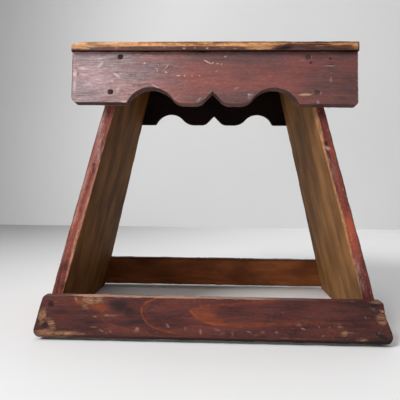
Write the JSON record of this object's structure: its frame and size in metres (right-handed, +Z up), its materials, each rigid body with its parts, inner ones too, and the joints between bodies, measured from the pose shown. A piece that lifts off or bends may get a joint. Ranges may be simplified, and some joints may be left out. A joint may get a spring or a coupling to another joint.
{
  "type": "wooden milking stool",
  "caption": "Low wooden milking stool of nailed boards: thin seat on two slanted leg boards, scalloped aprons under the seat and floor rails across the feet, in worn red-brown paint.",
  "frame": {"origin": "on the floor, under the middle of the stool", "axes": "+Z up, +X to the right along the seat's long side, +Y from the front apron to the rear apron"},
  "size_m": [0.4274, 0.2858, 0.363],
  "materials": {
    "seat_wood": "satin",
    "painted_wood": "satin",
    "leg_wood": "matte",
    "rail_wood": "satin",
    "nail_iron": "matte"
  },
  "bodies": {
    "root": {"seat_board": "seat_wood", "front_apron": "painted_wood", "rear_apron": "painted_wood", "left_leg_board": "leg_wood", "right_leg_board": "leg_wood", "front_floor_rail": "rail_wood", "rear_floor_rail": "rail_wood", "front_apron_nails": "nail_iron", "rear_apron_nails": "nail_iron", "front_rail_nails": "nail_iron", "rear_rail_nails": "nail_iron", "seat_nails": "nail_iron"}
  },
  "joints": []
}
